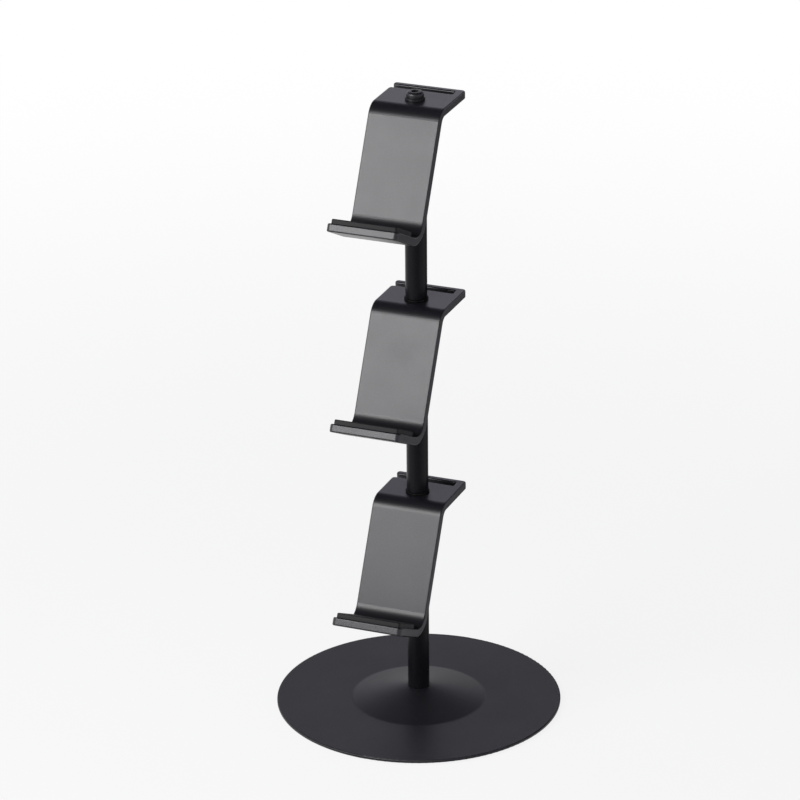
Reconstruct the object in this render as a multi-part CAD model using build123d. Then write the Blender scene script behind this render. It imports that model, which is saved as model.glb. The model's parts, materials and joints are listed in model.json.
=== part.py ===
from build123d import *
import os
from math import cos, radians, sin

os.makedirs("parts", exist_ok=True)

# Driving dimensions, in millimetres and degrees.
# Z is up, -Y is the side that the trays face, and the floor is at Z = 0 under the pole's axis.

# Base: one round steel sheet with a low cone pressed up in its middle
base_diameter = 175.5
base_thickness = 2.0
base_rim_radius = 0.7
cone_foot_diameter = 82.0
cone_rise = 7.6
cone_foot_bend = 7.0
cone_seat_bend = 3.0
cone_seat_margin = 0.7

# Non-slip rubber ring under the base
mat_thickness = 1.0
mat_inset = 3.0
mat_cone_gap = 4.0

# Pole: three equal tube lengths with a threaded insert pressed into each end
tube_diameter = 13.2
tube_wall = 1.5
tube_end_chamfer = 0.3
insert_length = 15.0
insert_play = 0.05

# Screws and studs that hold the tubes, brackets and base together
thread_diameter = 6.0
thread_play = 0.05
clearance_hole_play = 0.25
thread_grip = 12.0
thread_end_chamfer = 0.8
socket_across_flats = 4.0
socket_depth = 2.2
screw_head_diameter = 10.5
screw_head_height = 3.3
screw_head_round = 1.8
washer_diameter = 12.0
washer_thickness = 1.6
washer_chamfer = 0.2

# Thin rubber ring between each tube's foot and the bracket below it
ring_overhang = 0.75
ring_thickness = 1.2
ring_edge_radius = 0.4

# Tiers, from the lowest, with the height of each bracket's flat top
tier_names = ["lower", "middle", "upper"]
first_tier_height = 141.5
tier_pitch = 126.0

# Bracket: one bent plate, from the hook at its rear to the front edge of its tray
plate_thickness = 5.0
bracket_width = 45.0
flange_back = 25.0
flange_front = 15.7
back_length = 75.4
back_lean = 26.0
tray_depth = 38.1
upper_bend_radius = 5.0
lower_bend_radius = 10.0
flange_corner_radius = 2.2
tray_corner_radius = 3.0
plate_edge_radius = 0.9

# Cable slot near the bracket's rear edge, open at the left, with the hook behind it
hook_width = 4.2
hook_tip_radius = 2.0
slot_width = 5.2
slot_end_wall = 5.2
slot_corner_radius = 0.8

# Silicone pad on each tray
pad_thickness = 3.0
pad_side_inset = 2.0
pad_front_inset = 1.5
pad_bend_gap = 0.6
pad_corner_radius = 1.5
pad_edge_radius = 0.5

# How near a point has to lie to a face, and how sharp an edge has to be, to count
touch = 0.001
sharp_angle = 30.0

# Sizes that follow
base_bottom = mat_thickness
base_top = base_bottom + base_thickness
seat_top = base_top + cone_rise
seat_bottom = seat_top - base_thickness
base_screw_seat = seat_bottom - washer_thickness
seat_radius = tube_diameter / 2 + cone_seat_margin
tier_heights = [first_tier_height + tier * tier_pitch for tier in range(len(tier_names))]
tube_feet = [seat_top] + [height + ring_thickness for height in tier_heights[:-1]]
tube_heads = [height - plate_thickness for height in tier_heights]
tube_bore_radius = tube_diameter / 2 - tube_wall
hole_radius = thread_diameter / 2 + clearance_hole_play


def sheet_section(corners, inside_radii, thickness):
    """Face of a bent sheet that lies to the left of its upper side's sharp corners, taken in order."""
    runs = [(end - start).normalized() for start, end in zip(corners, corners[1:])]
    normals = [Vector(-run.Y, run.X) for run in runs]
    lower_corners = [corners[0] + normals[0] * thickness]
    upper_radii = []
    lower_radii = []
    for index, inside_radius in enumerate(inside_radii):
        before, after = normals[index], normals[index + 1]
        shift = (before + after) * (thickness / (1 + before.dot(after)))
        lower_corners.append(corners[index + 1] + shift)
        turns_left = runs[index].cross(runs[index + 1]).Z > 0
        upper_radii.append(inside_radius + thickness if turns_left else inside_radius)
        lower_radii.append(inside_radius if turns_left else inside_radius + thickness)
    lower_corners.append(corners[-1] + normals[-1] * thickness)
    upper = FilletPolyline(*corners, radius=upper_radii)
    lower = FilletPolyline(*lower_corners, radius=lower_radii)
    ends = Line(upper @ 0, lower @ 0) + Line(upper @ 1, lower @ 1)
    return make_face(upper + lower + ends)


def sharp_edges(body):
    """Edges where two faces of a body meet sharply enough to be rounded."""
    found = ShapeList()
    faces = body.faces()
    for edge in body.edges():
        middle = edge @ 0.5
        touching = [face for face in faces if face.distance_to(middle) < touch]
        if len(touching) == 2:
            first, second = (face.normal_at(middle) for face in touching)
            if first.dot(second) < cos(radians(sharp_angle)):
                found.append(edge)
    return found


def upright_edge(body, x, y):
    """The edge of a body that runs along Z nearest to a place in plan."""
    uprights = body.edges().filter_by(Axis.Z)
    return uprights.sort_by(lambda edge: (edge.center() - Vector(x, y, edge.center().Z)).length)[0]


def ring(outer_radius, inner_radius, height):
    """Plain round ring that stands on Z = 0."""
    outline = Circle(outer_radius) - Circle(inner_radius)
    return extrude(outline, amount=height)


def rim_edges(body, radius):
    """The round edges of a body that have a given radius."""
    circles = body.edges().filter_by(GeomType.CIRCLE)
    return circles.filter_by(lambda edge: abs(edge.radius - radius) < touch)


def base_plate():
    """Round sheet, flat to the foot of its cone, with a flat seat and a screw hole at the top."""
    rim = base_diameter / 2
    corners = [
        Vector(rim, base_top),
        Vector(cone_foot_diameter / 2, base_top),
        Vector(seat_radius, seat_top),
        Vector(hole_radius, seat_top),
    ]
    section = sheet_section(corners, [cone_foot_bend, cone_seat_bend], base_thickness)
    plate = revolve(Plane.XZ * section, axis=Axis.Z)
    return fillet(rim_edges(plate, rim), base_rim_radius)


def base_mat():
    """Flat rubber ring, clear of the hollow under the cone."""
    outer = base_diameter / 2 - mat_inset
    inner = cone_foot_diameter / 2 + mat_cone_gap
    return ring(outer, inner, mat_thickness)


def tube(foot, head):
    """One length of the pole, with both ends lightly chamfered outside."""
    body = ring(tube_diameter / 2, tube_bore_radius, head - foot)
    body = chamfer(rim_edges(body, tube_diameter / 2), tube_end_chamfer)
    return Pos(0, 0, foot) * body


def threaded_insert(foot):
    """Plug with a threaded hole, pressed into a tube's end."""
    body = ring(tube_bore_radius - insert_play, thread_diameter / 2 + thread_play, insert_length)
    return Pos(0, 0, foot) * body


def stud(flange_height):
    """Threaded rod through one bracket, held by the inserts below and above it."""
    low = flange_height - plate_thickness - thread_grip
    high = flange_height + ring_thickness + thread_grip
    body = extrude(Circle(thread_diameter / 2), amount=high - low)
    body = chamfer(rim_edges(body, thread_diameter / 2), thread_end_chamfer)
    return Pos(0, 0, low) * body


def screw(grip):
    """Button-head screw with a hexagon socket: its head stands on Z = 0 and its shank hangs below."""
    shank_length = grip + thread_grip
    shank = Pos(0, 0, -shank_length) * extrude(Circle(thread_diameter / 2), amount=shank_length)
    shank = chamfer(rim_edges(shank, thread_diameter / 2).sort_by(Axis.Z)[0], thread_end_chamfer)
    head = extrude(Circle(screw_head_diameter / 2), amount=screw_head_height)
    head = fillet(head.edges().sort_by(Axis.Z)[-1], screw_head_round)
    socket_outline = RegularPolygon(radius=socket_across_flats / 2, side_count=6, major_radius=False)
    socket = Pos(0, 0, screw_head_height - socket_depth) * extrude(socket_outline, amount=socket_depth)
    return shank + head - socket


def washer():
    """Flat washer that stands on Z = 0."""
    body = ring(washer_diameter / 2, hole_radius, washer_thickness)
    return chamfer(rim_edges(body, washer_diameter / 2), washer_chamfer)


def seat_ring():
    """Rubber ring a little wider than the tube, with its rim rounded, standing on Z = 0."""
    outer = tube_diameter / 2 + ring_overhang
    body = ring(outer, hole_radius, ring_thickness)
    return fillet(rim_edges(body, outer), ring_edge_radius)


# The bracket's upper side in the YZ plane, with the top of its flange at Z = 0
lean = radians(back_lean)
down_the_back = Vector(-sin(lean), -cos(lean))
out_along_tray = Vector(-cos(lean), sin(lean))
hook_edge = Vector(flange_back, 0)
upper_bend = Vector(-flange_front, 0)
lower_bend = upper_bend + down_the_back * back_length
tray_edge = lower_bend + out_along_tray * tray_depth


def bracket():
    """Bent plate with a slotted flange, a back that leans to the rear and a tray square to the back."""
    side = bracket_width / 2
    corners = [hook_edge, upper_bend, lower_bend, tray_edge]
    section = sheet_section(corners, [upper_bend_radius, lower_bend_radius], plate_thickness)
    plate = extrude(Plane.YZ * section, amount=side, both=True)

    slot_rear = flange_back - hook_width
    slot_front = slot_rear - slot_width
    slot_end = side - slot_end_wall
    slot_length = slot_end + side
    slot = Box(slot_length, slot_width, 2 * plate_thickness, align=(Align.MIN, Align.MIN, Align.CENTER))
    plate -= Pos(-side, slot_front, 0) * slot

    tips = [upright_edge(plate, -side, flange_back), upright_edge(plate, -side, slot_rear)]
    plate = fillet(tips, hook_tip_radius)
    slot_corners = [upright_edge(plate, slot_end, slot_rear), upright_edge(plate, slot_end, slot_front)]
    plate = fillet(slot_corners, slot_corner_radius)
    flange_corners = [upright_edge(plate, side, flange_back), upright_edge(plate, -side, slot_front)]
    plate = fillet(flange_corners, flange_corner_radius)
    across_tray = Axis((0, 0, 0), (0, down_the_back.X, down_the_back.Y))
    tray_corners = plate.edges().filter_by(across_tray).sort_by(Axis.Y)[:2]
    plate = fillet(tray_corners, tray_corner_radius)
    plate = fillet(sharp_edges(plate), plate_edge_radius)

    stud_hole = Cylinder(hole_radius, 2 * plate_thickness)
    return plate - stud_hole


def tray_pad():
    """Flat pad that lies on the tray, between its front edge and the lower bend."""
    width = bracket_width - 2 * pad_side_inset
    depth = tray_depth - pad_front_inset - lower_bend_radius - pad_bend_gap
    tray_plane = Plane(
        origin=(0, tray_edge.X, tray_edge.Y),
        x_dir=(1, 0, 0),
        z_dir=(0, -down_the_back.X, -down_the_back.Y),
    )
    outline = RectangleRounded(width, depth, pad_corner_radius)
    body = extrude(outline, amount=pad_thickness)
    body = fillet(body.faces().sort_by(Axis.Z)[-1].edges(), pad_edge_radius)
    return tray_plane * Pos(0, pad_front_inset + depth / 2, 0) * body


nodes = {
    "base_plate": base_plate(),
    "base_mat": base_mat(),
}

nodes["base_washer"] = Pos(0, 0, base_screw_seat) * washer()
nodes["base_screw"] = Pos(0, 0, base_screw_seat) * Rot(180, 0, 0) * screw(washer_thickness + base_thickness)

bracket_body = bracket()
pad_body = tray_pad()
for name, height, foot, head in zip(tier_names, tier_heights, tube_feet, tube_heads):
    nodes["pole_tube_" + name] = tube(foot, head)
    nodes["foot_insert_" + name] = threaded_insert(foot)
    nodes["head_insert_" + name] = threaded_insert(head - insert_length)
    nodes["bracket_" + name] = Pos(0, 0, height) * bracket_body
    nodes["tray_pad_" + name] = Pos(0, 0, height) * pad_body

for name, height in zip(tier_names[:-1], tier_heights[:-1]):
    nodes["joining_stud_" + name] = stud(height)
    nodes["seat_ring_" + name] = Pos(0, 0, height) * seat_ring()

top_of_stand = tier_heights[-1]
nodes["top_washer"] = Pos(0, 0, top_of_stand) * washer()
nodes["top_screw"] = Pos(0, 0, top_of_stand + washer_thickness) * screw(washer_thickness + plate_thickness)

for name, body in nodes.items():
    export_step(body, "parts/" + name + ".step")
    print(name, round(body.volume, 1), "mm3")
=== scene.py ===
import json
from math import cos, pi, radians, sin

import bpy
from mathutils import Matrix, Vector


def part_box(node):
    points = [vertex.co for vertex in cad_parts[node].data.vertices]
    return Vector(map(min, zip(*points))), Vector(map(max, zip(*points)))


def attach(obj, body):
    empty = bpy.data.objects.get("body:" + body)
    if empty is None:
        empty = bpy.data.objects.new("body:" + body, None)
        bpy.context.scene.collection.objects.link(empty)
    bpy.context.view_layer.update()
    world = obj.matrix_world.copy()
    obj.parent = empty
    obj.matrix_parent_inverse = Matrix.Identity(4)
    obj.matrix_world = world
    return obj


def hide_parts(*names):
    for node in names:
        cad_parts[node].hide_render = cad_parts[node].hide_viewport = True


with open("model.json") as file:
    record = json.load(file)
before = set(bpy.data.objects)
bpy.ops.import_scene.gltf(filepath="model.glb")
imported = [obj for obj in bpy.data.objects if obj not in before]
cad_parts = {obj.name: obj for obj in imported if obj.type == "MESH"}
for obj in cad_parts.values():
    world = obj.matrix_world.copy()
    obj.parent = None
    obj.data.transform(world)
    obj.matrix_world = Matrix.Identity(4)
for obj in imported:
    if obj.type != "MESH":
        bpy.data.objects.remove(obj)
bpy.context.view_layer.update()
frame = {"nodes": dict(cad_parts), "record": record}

# All lengths are in metres and Z is up. The trays face -Y and the pole stands on the Z axis.
# Azimuths are in degrees from the front towards the right, and elevations in degrees upwards.
MM = 0.001


# Node building


class Value:
    """A node's socket that can stand in a sum or a product with other sockets and plain numbers."""

    def __init__(self, network, socket):
        self.network = network
        self.socket = socket

    def _maths(self, operation, first, second=0.0):
        return self.network.node("ShaderNodeMath", {"operation": operation}, {0: first, 1: second})

    def __add__(self, other):
        return self._maths("ADD", self, other)

    def __radd__(self, other):
        return self._maths("ADD", other, self)

    def __sub__(self, other):
        return self._maths("SUBTRACT", self, other)

    def __rsub__(self, other):
        return self._maths("SUBTRACT", other, self)

    def __mul__(self, other):
        return self._maths("MULTIPLY", self, other)

    def __rmul__(self, other):
        return self._maths("MULTIPLY", other, self)

    def __pow__(self, other):
        return self._maths("POWER", self, other)

    def __truediv__(self, other):
        return self._maths("DIVIDE", self, other)

    def __abs__(self):
        return self._maths("ABSOLUTE", self)

    def __lt__(self, other):
        return self._maths("LESS_THAN", self, other)

    def part_of_one(self):
        """What is left over when the whole turns or steps are taken off."""
        return self._maths("FRACT", self)

    def least(self, other):
        """The smaller of two values."""
        return self._maths("MINIMUM", self, other)

    def ramp(self, low, high, smooth=True):
        """0 below low, 1 above high and even or smooth between them; low may be the larger."""
        return self.network.node(
            "ShaderNodeMapRange",
            {"interpolation_type": "SMOOTHSTEP" if smooth else "LINEAR"},
            {"Value": self, "From Min": low, "From Max": high},
        )


class Network:
    """A node tree, built up node by node."""

    def __init__(self, tree):
        self.tree = tree
        tree.nodes.clear()

    def node(self, kind, settings, sockets, output=0):
        """Adds a node, with its settings made first and then its sockets' values or links."""
        made = self.tree.nodes.new(kind)
        for key, setting in settings.items():
            setattr(made, key, setting)
        for key, content in sockets.items():
            if isinstance(content, Value):
                self.tree.links.new(content.socket, made.inputs[key])
            else:
                made.inputs[key].default_value = content
        return Value(self, made.outputs[output]) if made.outputs else None

    def axes(self, vector):
        """The X, Y and Z values of a vector."""
        return [self.node("ShaderNodeSeparateXYZ", {}, {"Vector": vector}, name) for name in "XYZ"]


class Finish(Network):
    """The shading of a material or of the surroundings."""

    def __init__(self, owner, place="Object"):
        owner.use_nodes = True
        super().__init__(owner.node_tree)
        self.owner = owner
        self.place = self.node("ShaderNodeTexCoord", {}, {}, place)

    def noise(self, grain, detail=2.0, roughness=0.5, place=None):
        """Cloudy noise with blobs about one grain across."""
        return self.node("ShaderNodeTexNoise", {}, {
            "Vector": place or self.place,
            "Scale": 1 / grain,
            "Detail": detail,
            "Roughness": roughness,
        })

    def cells(self, grain):
        """Distance to the nearest of many scattered points, about one grain apart."""
        scattered = {"Vector": self.place, "Scale": 1 / grain}
        return self.node("ShaderNodeTexVoronoi", {"feature": "F1"}, scattered, "Distance")

    def mix(self, share, first, second):
        """One colour turning into another as share goes from 0 to 1."""
        # A Mix node's sockets for two colours are numbers 6 and 7, and its mixed colour is output 2.
        return self.node("ShaderNodeMix", {"data_type": "RGBA"}, {0: share, 6: first, 7: second}, 2)

    def reach(self):
        """Distance from the Z axis."""
        x, y, _ = self.axes(self.place)
        return (x * x + y * y) ** 0.5

    def toward(self, azimuth):
        """How far out from the Z axis the point lies, measured towards an azimuth."""
        x, y, _ = self.axes(self.place)
        return sin(radians(azimuth)) * x - cos(radians(azimuth)) * y

    def ray(self, kind):
        """1 for this kind of ray and 0 for the rest."""
        return self.node("ShaderNodeLightPath", {}, {}, kind)

    def relief(self, height, depth):
        """Surface normal that follows a height between 0 and 1, times a depth in metres."""
        return self.node("ShaderNodeBump", {}, {"Strength": 1.0, "Distance": depth, "Height": height})

    def surface(self, **sockets):
        """Principled shader with the given sockets, named with underscores, led to the output."""
        named = {key.replace("_", " "): content for key, content in sockets.items()}
        shader = self.node("ShaderNodeBsdfPrincipled", {}, named)
        self.node("ShaderNodeOutputMaterial", {}, {"Surface": shader})
        return self.owner


def material(name):
    """A new material, ready to be built up."""
    return Finish(bpy.data.materials.new(name))


def tone(level, blue=0.0, red=0.0):
    """A grey of one linear level, with a little more blue or red where they are given."""
    return (level * (1 + red), level, level * (1 + blue), 1.0)


# Finishes of the stand

# Noise swings evenly about this value.
NOISE_MIDDLE = 0.5
VIOLET_CAST = {"blue": 0.30, "red": 0.08}
# Towards the rim of the base the coat begins to pull thin at the first of these distances from it,
# and it is thinnest from the second on.
RIM_WEAR_FROM, RIM_WEAR_FULL = 0.9 * MM, 0.2 * MM


def powder_coat(name, edge_mask=None, *, level, roughness, specular):
    """Fine sand-textured black powder coat with a slight violet cast, lighter where the mask is 1."""
    coat = material(name)
    sand = coat.noise(grain=0.32 * MM, detail=2.0, roughness=0.6)
    peel = coat.noise(grain=1.1 * MM, detail=2.0, roughness=0.6)
    cloud = coat.noise(grain=38 * MM, detail=3.0)
    speck = sand.ramp(low=0.60, high=0.74)
    blend = 0.35 * speck + 0.40 * peel.ramp(low=0.25, high=0.75) + 0.25 * cloud
    if edge_mask:
        worn = edge_mask(coat) * peel.ramp(low=0.38, high=0.62)
        blend = blend + 0.5 * worn
    dark, light = tone(level * 0.55, **VIOLET_CAST), tone(level * 1.75, **VIOLET_CAST)
    return coat.surface(
        Base_Color=coat.mix(blend, dark, light),
        Roughness=roughness + 0.16 * (sand - NOISE_MIDDLE) + 0.10 * (cloud - NOISE_MIDDLE),
        Normal=coat.relief(0.5 * sand + 0.5 * peel, depth=0.042 * MM),
        Specular_IOR_Level=specular,
    )


def plate_edges(coat):
    """Mask of the rounded edges along the sides of a bent plate, where the coat pulls thin."""
    facing = coat.node("ShaderNodeTexCoord", {}, {}, "Normal")
    sideways = coat.axes(facing)[0] ** 2.0
    return 4.0 * sideways * (1.0 - sideways)


def disc_rim(coat):
    """Mask of the rounded rim of the base, where the coat pulls thin."""
    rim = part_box("base_plate")[1].x
    return coat.reach().ramp(rim - RIM_WEAR_FROM, rim - RIM_WEAR_FULL)


def moulded_silicone(name):
    """Matt black silicone with a fine spark-eroded skin and a little dust."""
    skin = material(name)
    pores = skin.noise(grain=0.18 * MM, detail=2.0, roughness=0.7)
    flow = skin.noise(grain=9 * MM, detail=2.0)
    motes = skin.cells(grain=1.9 * MM).ramp(low=0.16, high=0.06)
    dust = motes * skin.noise(grain=4 * MM).ramp(low=0.50, high=0.66)
    return skin.surface(
        Base_Color=skin.mix(0.45 * flow + 0.5 * dust, tone(0.005, blue=0.10), tone(0.018, blue=0.10)),
        Roughness=0.60 + 0.14 * (pores - NOISE_MIDDLE) + 0.08 * (flow - NOISE_MIDDLE),
        Normal=skin.relief(pores, depth=0.018 * MM),
        Specular_IOR_Level=0.28,
    )


def sheet_rubber(name):
    """Black sheet rubber with a finely pitted skin."""
    sheet = material(name)
    pores = sheet.cells(grain=0.45 * MM)
    patches = sheet.noise(grain=12 * MM, detail=3.0)
    return sheet.surface(
        Base_Color=sheet.mix(pores.ramp(low=0.15, high=0.60) * 0.7 + 0.3 * patches, tone(0.010), tone(0.034)),
        Roughness=0.80 + 0.12 * (patches - NOISE_MIDDLE),
        Normal=sheet.relief(pores, depth=0.10 * MM),
        Specular_IOR_Level=0.35,
    )


def black_rubber(name):
    """Smooth black rubber with a faint bloom."""
    rubber = material(name)
    bloom = rubber.noise(grain=2.6 * MM, detail=3.0)
    grit = rubber.noise(grain=0.2 * MM)
    return rubber.surface(
        Base_Color=rubber.mix(bloom.ramp(low=0.42, high=0.72), tone(0.003), tone(0.009, blue=0.05)),
        Roughness=0.58 + 0.16 * (bloom - NOISE_MIDDLE),
        Normal=rubber.relief(grit, depth=0.008 * MM),
        Specular_IOR_Level=0.06,
    )


def turned_metal(name, *, level, roughness, metallic, blue):
    """Metal turned or rolled about the pole's axis, with fine rings and a mottled surface film."""
    metal = material(name)
    radius = metal.reach()
    height = metal.axes(metal.place)[2]
    ringwise = metal.node("ShaderNodeCombineXYZ", {}, {"X": radius, "Y": 0.2 * radius, "Z": height})
    rings = metal.noise(grain=0.14 * MM, detail=3.0, place=ringwise)
    film = metal.noise(grain=1.8 * MM, detail=4.0)
    dark, light = tone(level * 0.62, blue=blue), tone(level * 1.30, blue=blue * 0.6)
    return metal.surface(
        Base_Color=metal.mix(0.45 * film + 0.30 * rings, dark, light),
        Metallic=metallic,
        Roughness=roughness + 0.22 * (film - NOISE_MIDDLE) + 0.12 * (rings - NOISE_MIDDLE),
        Normal=metal.relief(rings, depth=0.006 * MM),
    )


finishes = {
    "base_coat": powder_coat("base_coat", disc_rim, level=0.0085, roughness=0.46, specular=0.40),
    "pole_coat": powder_coat("pole_coat", level=0.0055, roughness=0.29, specular=0.11),
    "bracket_coat": powder_coat("bracket_coat", plate_edges, level=0.0082, roughness=0.34, specular=0.48),
    "pad_silicone": moulded_silicone("pad_silicone"),
    "mat_rubber": sheet_rubber("mat_rubber"),
    "ring_rubber": black_rubber("ring_rubber"),
    "black_screw": turned_metal("black_screw", level=0.045, roughness=0.38, metallic=0.75, blue=0.10),
    "zinc_steel": turned_metal("zinc_steel", level=0.58, roughness=0.30, metallic=1.0, blue=0.08),
}

slots = {part["node"]: part["material_slot"] for part in frame["record"]["subparts"]}
for node_name, node in frame["nodes"].items():
    for material_slot in node.material_slots:
        material_slot.material = finishes[slots[node_name]]


# Mesh building

CIRCLE_STEPS = 48
SHARP_FROM = radians(32)


def into_scene(name, data):
    """A new object that holds the data, linked into the scene."""
    made = bpy.data.objects.new(name, data)
    bpy.context.scene.collection.objects.link(made)
    return made


def lofted_mesh(name, loops, ring=False):
    """Mesh through loops of equally many points, joined end to end in a ring or filled at both ends."""
    steps = len(loops[0])
    points = [point for loop in loops for point in loop]
    faces = []
    for row in range(len(loops) if ring else len(loops) - 1):
        low, high = row * steps, (row + 1) % len(loops) * steps
        for step in range(steps):
            along = (step + 1) % steps
            faces.append((low + step, low + along, high + along, high + step))
    if not ring:
        faces.append(tuple(reversed(range(steps))))
        faces.append(tuple(range(len(points) - steps, len(points))))
    mesh = bpy.data.meshes.new(name)
    mesh.from_pydata(points, [], faces)
    mesh.polygons.foreach_set("use_smooth", [True] * len(mesh.polygons))
    mesh.set_sharp_from_angle(angle=SHARP_FROM)
    return into_scene(name, mesh)


def circle(radius, height, steps=CIRCLE_STEPS):
    """Loop of points round the pole's axis."""
    turns = [2 * pi * step / steps for step in range(steps)]
    return [(radius * cos(turn), radius * sin(turn), height) for turn in turns]


def hexagon(across_flats, height):
    """Six-sided loop with as many points as a circle."""
    loop = []
    for step in range(CIRCLE_STEPS):
        turn = 2 * pi * step / CIRCLE_STEPS
        from_flat = (turn % (pi / 3)) - pi / 6
        radius = across_flats / 2 / cos(from_flat)
        loop.append((radius * cos(turn), radius * sin(turn), height))
    return loop


# Screws and studs with their threads

THREAD_PITCH = 1.0 * MM
THREAD_RADIUS = 3.0 * MM
THREAD_DEPTH = 0.56 * MM
THREAD_RUN_OUT = 1.2 * THREAD_PITCH
THREAD_END_CHAMFER = 0.8 * MM
RINGS_A_TURN = 8
# Over half a pitch the root is flat up to the first of these shares, and the crest from the second.
THREAD_ROOT_TO, THREAD_CREST_FROM = 0.22, 0.86
SIZE_INPUTS = ("Crest Radius", "Thread Depth", "Pitch", "Thread End", "Run Out")


def shank_loops(low, high):
    """Plain round shank, with rings close enough together to take a thread."""
    count = round((high - low) / THREAD_PITCH * RINGS_A_TURN)
    return [circle(THREAD_RADIUS, low + (high - low) * ring / count) for ring in range(count + 1)]


def thread_cutter():
    """Geometry tree that turns a plain shank round the Z axis into a right-hand thread."""
    tree = bpy.data.node_groups.new("thread_cutter", "GeometryNodeTree")
    tools = Network(tree)
    tree.interface.new_socket("Blank", in_out="INPUT", socket_type="NodeSocketGeometry")
    for name in SIZE_INPUTS:
        tree.interface.new_socket(name, in_out="INPUT", socket_type="NodeSocketFloat")
    tree.interface.new_socket("Metal", in_out="INPUT", socket_type="NodeSocketMaterial")
    tree.interface.new_socket("Threaded", in_out="OUTPUT", socket_type="NodeSocketGeometry")
    blank, crest, depth, pitch, end, run_out, metal = (
        tools.node("NodeGroupInput", {}, {}, name) for name in ("Blank", *SIZE_INPUTS, "Metal")
    )
    position = tools.node("GeometryNodeInputPosition", {}, {})
    x, y, z = tools.axes(position)
    radius = (x * x + y * y) ** 0.5
    turn = tools.node("ShaderNodeMath", {"operation": "ARCTAN2"}, {0: y, 1: x}) / (2 * pi)
    ridge = 2.0 * abs((z / pitch - turn).part_of_one() - 0.5)
    groove = 1.0 - ridge.ramp(THREAD_ROOT_TO, THREAD_CREST_FROM, smooth=False)
    fade = ((end - z) / run_out).ramp(0.0, 1.0)
    cut_radius = radius.least(crest - depth * groove * fade)
    share = cut_radius / radius
    moved = tools.node("ShaderNodeCombineXYZ", {}, {"X": x * share, "Y": y * share, "Z": z})
    cut = tools.node(
        "GeometryNodeSetPosition", {}, {"Geometry": blank, "Selection": z < end, "Position": moved}
    )
    whole = tools.node("GeometryNodeRealizeInstances", {}, {"Geometry": cut})
    finished = tools.node("GeometryNodeSetMaterial", {}, {"Geometry": whole, "Material": metal})
    tools.node("NodeGroupOutput", {}, {"Threaded": finished})
    return tree


def threaded(blank, tree, thread_end, material_slot, node_name):
    """Cuts the thread into a blank up to a height, and puts the result in place of its CAD node."""
    sizes = (THREAD_RADIUS, THREAD_DEPTH, THREAD_PITCH, thread_end, THREAD_RUN_OUT)
    values = dict(zip(SIZE_INPUTS, sizes), Metal=finishes[material_slot])
    modifier = blank.modifiers.new("thread", "NODES")
    modifier.node_group = tree
    for item in tree.interface.items_tree:
        if item.name in values:
            modifier[item.identifier] = values[item.name]
    evaluated = blank.evaluated_get(bpy.context.evaluated_depsgraph_get())
    plain = bpy.data.meshes.new_from_object(evaluated)
    plain.name = blank.name
    blank.modifiers.remove(modifier)
    blank.data = plain
    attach(blank, "root")
    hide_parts(node_name)


def joining_stud(name, tree):
    """Stud with both ends chamfered, threaded right through to its top."""
    low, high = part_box(name)[0].z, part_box(name)[1].z
    tip = THREAD_RADIUS - THREAD_END_CHAMFER
    loops = [circle(tip, low)]
    loops += shank_loops(low + THREAD_END_CHAMFER, high - THREAD_END_CHAMFER)
    loops += [circle(tip, high)]
    past_the_top = high + 2 * THREAD_PITCH
    threaded(lofted_mesh(name + "_threaded", loops), tree, past_the_top, "zinc_steel", name)


HEAD_RADIUS = 5.25 * MM
HEAD_HEIGHT = 3.3 * MM
HEAD_ROUND = 1.8 * MM
HEAD_ROUND_STEPS = 8
HEAD_FOOT_CHAMFER = 0.15 * MM
NECK_BELOW_HEAD = 1.6 * MM
SOCKET_ACROSS_FLATS = 4.0 * MM
SOCKET_MOUTH_ACROSS = 4.5 * MM
SOCKET_MOUTH_DEPTH = 0.22 * MM
SOCKET_DEPTH = 2.2 * MM
SOCKET_DRILL_RADIUS = 1.7 * MM
SOCKET_DRILL_DEPTH = 0.5 * MM
SOCKET_DRILL_POINT = 0.17 * MM


def screw_loops(shank_length):
    """Loops of a screw from its tip, over its domed head and down into its hexagon socket."""
    loops = [circle(THREAD_RADIUS - THREAD_END_CHAMFER, -shank_length)]
    loops += shank_loops(-shank_length + THREAD_END_CHAMFER, 0.0)
    loops += [circle(HEAD_RADIUS - HEAD_FOOT_CHAMFER, 0.0), circle(HEAD_RADIUS, HEAD_FOOT_CHAMFER)]
    for step in range(HEAD_ROUND_STEPS + 1):
        bend = pi / 2 * step / HEAD_ROUND_STEPS
        radius = HEAD_RADIUS - HEAD_ROUND * (1 - cos(bend))
        loops.append(circle(radius, HEAD_HEIGHT - HEAD_ROUND * (1 - sin(bend))))
    return loops + [
        hexagon(SOCKET_MOUTH_ACROSS, HEAD_HEIGHT),
        hexagon(SOCKET_ACROSS_FLATS, HEAD_HEIGHT - SOCKET_MOUTH_DEPTH),
        hexagon(SOCKET_ACROSS_FLATS, HEAD_HEIGHT - SOCKET_DEPTH),
        circle(SOCKET_DRILL_RADIUS, HEAD_HEIGHT - SOCKET_DEPTH),
        circle(SOCKET_DRILL_POINT, HEAD_HEIGHT - SOCKET_DEPTH - SOCKET_DRILL_DEPTH),
    ]


def button_head_screw(name, tree, material_slot, head_at_top):
    """Threaded screw as long as its CAD node, with its head at the top or at the bottom."""
    low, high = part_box(name)[0].z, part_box(name)[1].z
    shank_length = high - low - HEAD_HEIGHT
    seat = low + shank_length if head_at_top else 0.0
    loops = [[(x, y, seat + z) for x, y, z in loop] for loop in screw_loops(shank_length)]
    screw = lofted_mesh(name + "_threaded", loops)
    threaded(screw, tree, seat - NECK_BELOW_HEAD, material_slot, name)
    if not head_at_top:
        screw.data.transform(Matrix.Translation((0, 0, high - shank_length)) @ Matrix.Rotation(pi, 4, "X"))


# Moulded tray pads

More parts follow.
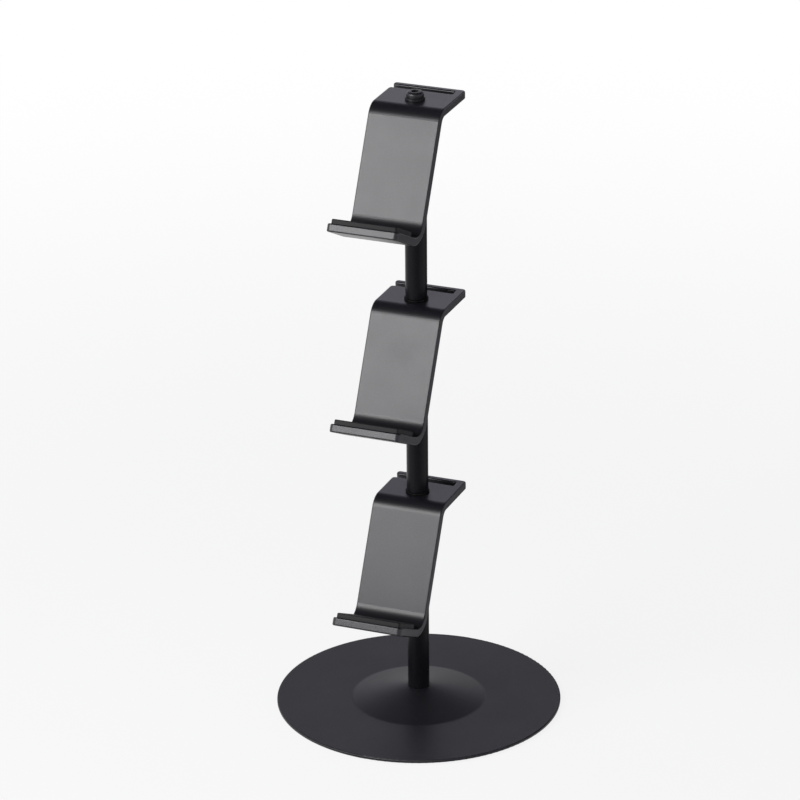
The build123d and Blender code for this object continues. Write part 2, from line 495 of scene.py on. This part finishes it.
PAD_TILT = radians(26.0)
PAD_DEPTH = 26.0 * MM
PAD_THICKNESS = 3.0 * MM
PAD_CORNER = 1.5 * MM
PAD_CORNER_STEPS = 8
PAD_EDGE = 0.75 * MM
PAD_EDGE_STEPS = 6
PAD_CROWN = 0.12 * MM
# The crowned top has a loop at each of these shares of the way from its middle to its rounded edge.
PAD_CROWN_LOOPS = (0.8, 0.5, 0.2)


def rounded_rectangle(width, depth, corner, height):
    """Loop round a rectangle with rounded corners, about the origin."""
    loop = []
    for quarter, (side_x, side_y) in enumerate([(1, 1), (-1, 1), (-1, -1), (1, -1)]):
        for step in range(PAD_CORNER_STEPS + 1):
            turn = (quarter + step / PAD_CORNER_STEPS) * pi / 2
            x = side_x * (width / 2 - corner) + corner * cos(turn)
            y = side_y * (depth / 2 - corner) + corner * sin(turn)
            loop.append((x, y, height))
    return loop


def moulded_pad(name):
    """Silicone pad with soft edges and a faintly crowned top, in its CAD solid's place on the tray."""
    low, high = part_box(name)
    width = high.x - low.x
    loops = [rounded_rectangle(width, PAD_DEPTH, PAD_CORNER, 0.0)]
    shoulder = PAD_THICKNESS - PAD_CROWN - PAD_EDGE
    for step in range(PAD_EDGE_STEPS + 1):
        bend = pi / 2 * step / PAD_EDGE_STEPS
        inset = PAD_EDGE * (1 - cos(bend))
        height = shoulder + PAD_EDGE * sin(bend)
        loops.append(rounded_rectangle(width - 2 * inset, PAD_DEPTH - 2 * inset, PAD_CORNER - inset, height))
    for share in PAD_CROWN_LOOPS:
        inset = (1 - share) * (PAD_DEPTH / 2 - PAD_EDGE) + PAD_EDGE
        corner = (PAD_CORNER - PAD_EDGE) * share
        height = shoulder + PAD_EDGE + PAD_CROWN * (1 - share ** 2)
        loops.append(rounded_rectangle(width - 2 * inset, PAD_DEPTH - 2 * inset, corner, height))
    pad = lofted_mesh(name + "_moulded", loops)
    pad.data.materials.append(finishes["pad_silicone"])
    half_depth = PAD_DEPTH / 2
    underside = Vector((0, low.y + half_depth * cos(PAD_TILT), low.z + half_depth * sin(PAD_TILT)))
    pad.data.transform(Matrix.Translation(underside) @ Matrix.Rotation(-PAD_TILT, 4, "X"))
    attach(pad, "root")
    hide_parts(name)


# Rubber seat rings and the base mat

RIM_STEPS = 6
RING_STEPS = 96
RING_HOLE_RADIUS = 3.25 * MM
RING_EDGE = 0.15 * MM
RING_BULGE = 0.45 * MM
MAT_STEPS = 192
MAT_HOLE_RADIUS = 45.0 * MM
MAT_EDGE = 0.3 * MM


def half_round(radius, height, reach, rise):
    """Points of an upright half ellipse about a rim, from its foot to its top, bulging by reach."""
    turns = [pi * step / RIM_STEPS - pi / 2 for step in range(RIM_STEPS + 1)]
    return [(radius + reach * cos(turn), height + rise * sin(turn)) for turn in turns]


def moulded_ring(name, material_slot, steps, hole_radius, edge, bulge):
    """Rubber ring with its hole's edges eased and its rim rounded, in its CAD solid's place."""
    low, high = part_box(name)
    middle, half = (low.z + high.z) / 2, (high.z - low.z) / 2
    profile = half_round(high.x - bulge, middle, bulge, half)
    profile += [(hole_radius + edge, high.z), (hole_radius, high.z - edge)]
    profile += [(hole_radius, low.z + edge), (hole_radius + edge, low.z)]
    ring = lofted_mesh(name + "_moulded", [circle(*point, steps) for point in profile], ring=True)
    ring.data.materials.append(finishes[material_slot])
    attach(ring, "root")
    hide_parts(name)


# The pieces that take the place of their CAD nodes

TIERS = ("lower", "middle", "upper")
JOINED_TIERS = ("lower", "middle")

cutter = thread_cutter()
for tier in JOINED_TIERS:
    joining_stud("joining_stud_" + tier, cutter)
button_head_screw("top_screw", cutter, "black_screw", head_at_top=True)
button_head_screw("base_screw", cutter, "zinc_steel", head_at_top=False)
for tier in TIERS:
    moulded_pad("tray_pad_" + tier)
for tier in JOINED_TIERS:
    moulded_ring("seat_ring_" + tier, "ring_rubber", RING_STEPS, RING_HOLE_RADIUS, RING_EDGE, RING_BULGE)
moulded_ring("base_mat", "mat_rubber", MAT_STEPS, MAT_HOLE_RADIUS, MAT_EDGE, MAT_EDGE)


# Floor and surroundings

WHITE = tone(1.0)
FLOOR_HALF_WIDTH = 12.0
PAPER_DARK, PAPER_LIGHT = tone(0.72), tone(0.74)
PAPER_FIBRE = 60 * MM
# Share of white that the floor shows near the stand, and the reach over which it grows to all of it.
LIFT_NEAR = 0.86
LIFT_REACH = (0.25, 1.3)
# The paint mirrors a white floor that dims round two azimuths, between two cosines of the angle from each.
DIM_IN_FRONT, DIM_IN_FRONT_EDGES = 22.0, (0.70, 0.95)
DIM_BEHIND, DIM_BEHIND_EDGES = 158.0, (0.76, 0.92)
# The backdrop is white up to the first of these elevations, cooler at the second and lost in the dim
# ceiling at the third.
WHITE_TO, COOL_FROM, CEILING_FROM = 8.0, 23.0, 42.0
COOL_BACKDROP = (0.72, 0.69, 0.865, 1.0)
CEILING = (0.045, 0.045, 0.048, 1.0)
# A flag darkens the backdrop round this azimuth, from the first cosine to the second.
FLAG_AZIMUTH = 145.0
FLAG_EDGES = (0.62, 0.82)


def studio_floor():
    """Wide pale floor that shows white with a soft shadow, and that the paint mirrors but for two sectors."""
    half = FLOOR_HALF_WIDTH
    corners = [(-half, -half, 0), (half, -half, 0), (half, half, 0), (-half, half, 0)]
    mesh = bpy.data.meshes.new("studio_floor")
    mesh.from_pydata(corners, [], [(0, 1, 2, 3)])
    floor = into_scene("studio_floor", mesh)
    paper = material("studio_paper")
    colour = paper.mix(paper.noise(PAPER_FIBRE, detail=2.0), PAPER_DARK, PAPER_LIGHT)
    matt = paper.node("ShaderNodeBsdfDiffuse", {}, {"Color": colour})
    glow = paper.node("ShaderNodeEmission", {}, {"Color": WHITE, "Strength": 1.0})
    reach = paper.reach()
    seen = LIFT_NEAR + (1.0 - LIFT_NEAR) * reach.ramp(*LIFT_REACH)
    front = (paper.toward(DIM_IN_FRONT) / reach).ramp(*DIM_IN_FRONT_EDGES)
    behind = (paper.toward(DIM_BEHIND) / reach).ramp(*DIM_BEHIND_EDGES)
    mirrored = (1.0 - front) * (1.0 - behind)
    share = paper.ray("Is Camera Ray") * seen + paper.ray("Is Glossy Ray") * mirrored
    both = paper.node("ShaderNodeMixShader", {}, {0: share, 1: matt, 2: glow})
    paper.node("ShaderNodeOutputMaterial", {}, {"Surface": both})
    mesh.materials.append(paper.owner)


def studio_surroundings():
    """Backdrop that is white round the horizon, with a dim ceiling and a dark flag behind at the right."""
    around = Finish(bpy.data.worlds.new("studio_surroundings"), "Generated")
    height = around.axes(around.place)[2]
    flag = around.toward(FLAG_AZIMUTH).ramp(*FLAG_EDGES)
    white, cool, ceiling = (sin(radians(elevation)) for elevation in (WHITE_TO, COOL_FROM, CEILING_FROM))
    backdrop = around.mix(height.ramp(white, cool), WHITE, COOL_BACKDROP)
    lit = (1.0 - height.ramp(cool, ceiling)) * (1.0 - flag * height.ramp(white, cool))
    light = around.node("ShaderNodeBackground", {}, {"Color": around.mix(lit, CEILING, backdrop)})
    around.node("ShaderNodeOutputWorld", {}, {"Surface": light})
    bpy.context.scene.world = around.owner


# Lamp and camera

KEY_AZIMUTH, KEY_ELEVATION = -31.0, 30.0
KEY_AIM_HEIGHT = 200 * MM
KEY_DISTANCE = 1.32
KEY_WIDTH, KEY_HEIGHT = 0.82, 0.50
KEY_RADIANCE = 10.8

CAMERA_AZIMUTH, CAMERA_ELEVATION, CAMERA_ROLL = 21.96, 23.0, -0.45
CAMERA_AIM_HEIGHT = 201.8 * MM
CAMERA_DISTANCE = 2745 * MM
CAMERA_SLIDE_LEFT = 10.235 * MM
SENSOR_WIDTH_IN_MM = 36.0
LENS_IN_MM = 204.95
VIEW_END = 100.0


def outward(azimuth, elevation):
    """Direction out from the stand."""
    turn, rise = radians(azimuth), radians(elevation)
    return Vector((sin(turn) * cos(rise), -cos(turn) * cos(rise), sin(rise)))


def key_softbox():
    """Rectangular soft lamp in front of the stand at the left, turned to face it."""
    lamp = bpy.data.lights.new("key_softbox", "AREA")
    lamp.shape = "RECTANGLE"
    lamp.size, lamp.size_y = KEY_WIDTH, KEY_HEIGHT
    lamp.energy = KEY_RADIANCE * KEY_WIDTH * KEY_HEIGHT * pi
    away = outward(KEY_AZIMUTH, KEY_ELEVATION)
    holder = into_scene("key_softbox", lamp)
    holder.rotation_mode = "QUATERNION"
    holder.rotation_quaternion = away.to_track_quat("Z", "Y")
    holder.location = Vector((0, 0, KEY_AIM_HEIGHT)) + away * KEY_DISTANCE


def main_camera():
    """Camera at the photograph's angle: a long lens, turned to the right and raised."""
    data = bpy.data.cameras.new("main_camera")
    data.sensor_width = SENSOR_WIDTH_IN_MM
    data.lens = LENS_IN_MM
    data.clip_end = VIEW_END
    back = outward(CAMERA_AZIMUTH, CAMERA_ELEVATION)
    right = outward(CAMERA_AZIMUTH + 90.0, 0.0)
    camera = into_scene("main_camera", data)
    camera.rotation_mode = "QUATERNION"
    facing = back.to_track_quat("Z", "Y").to_matrix() @ Matrix.Rotation(radians(CAMERA_ROLL), 3, "Z")
    camera.rotation_quaternion = facing.to_quaternion()
    camera.location = back * CAMERA_DISTANCE + Vector((0, 0, CAMERA_AIM_HEIGHT)) - right * CAMERA_SLIDE_LEFT
    bpy.context.scene.camera = camera


studio_floor()
studio_surroundings()
key_softbox()
main_camera()
bpy.context.scene.view_settings.view_transform = "Standard"
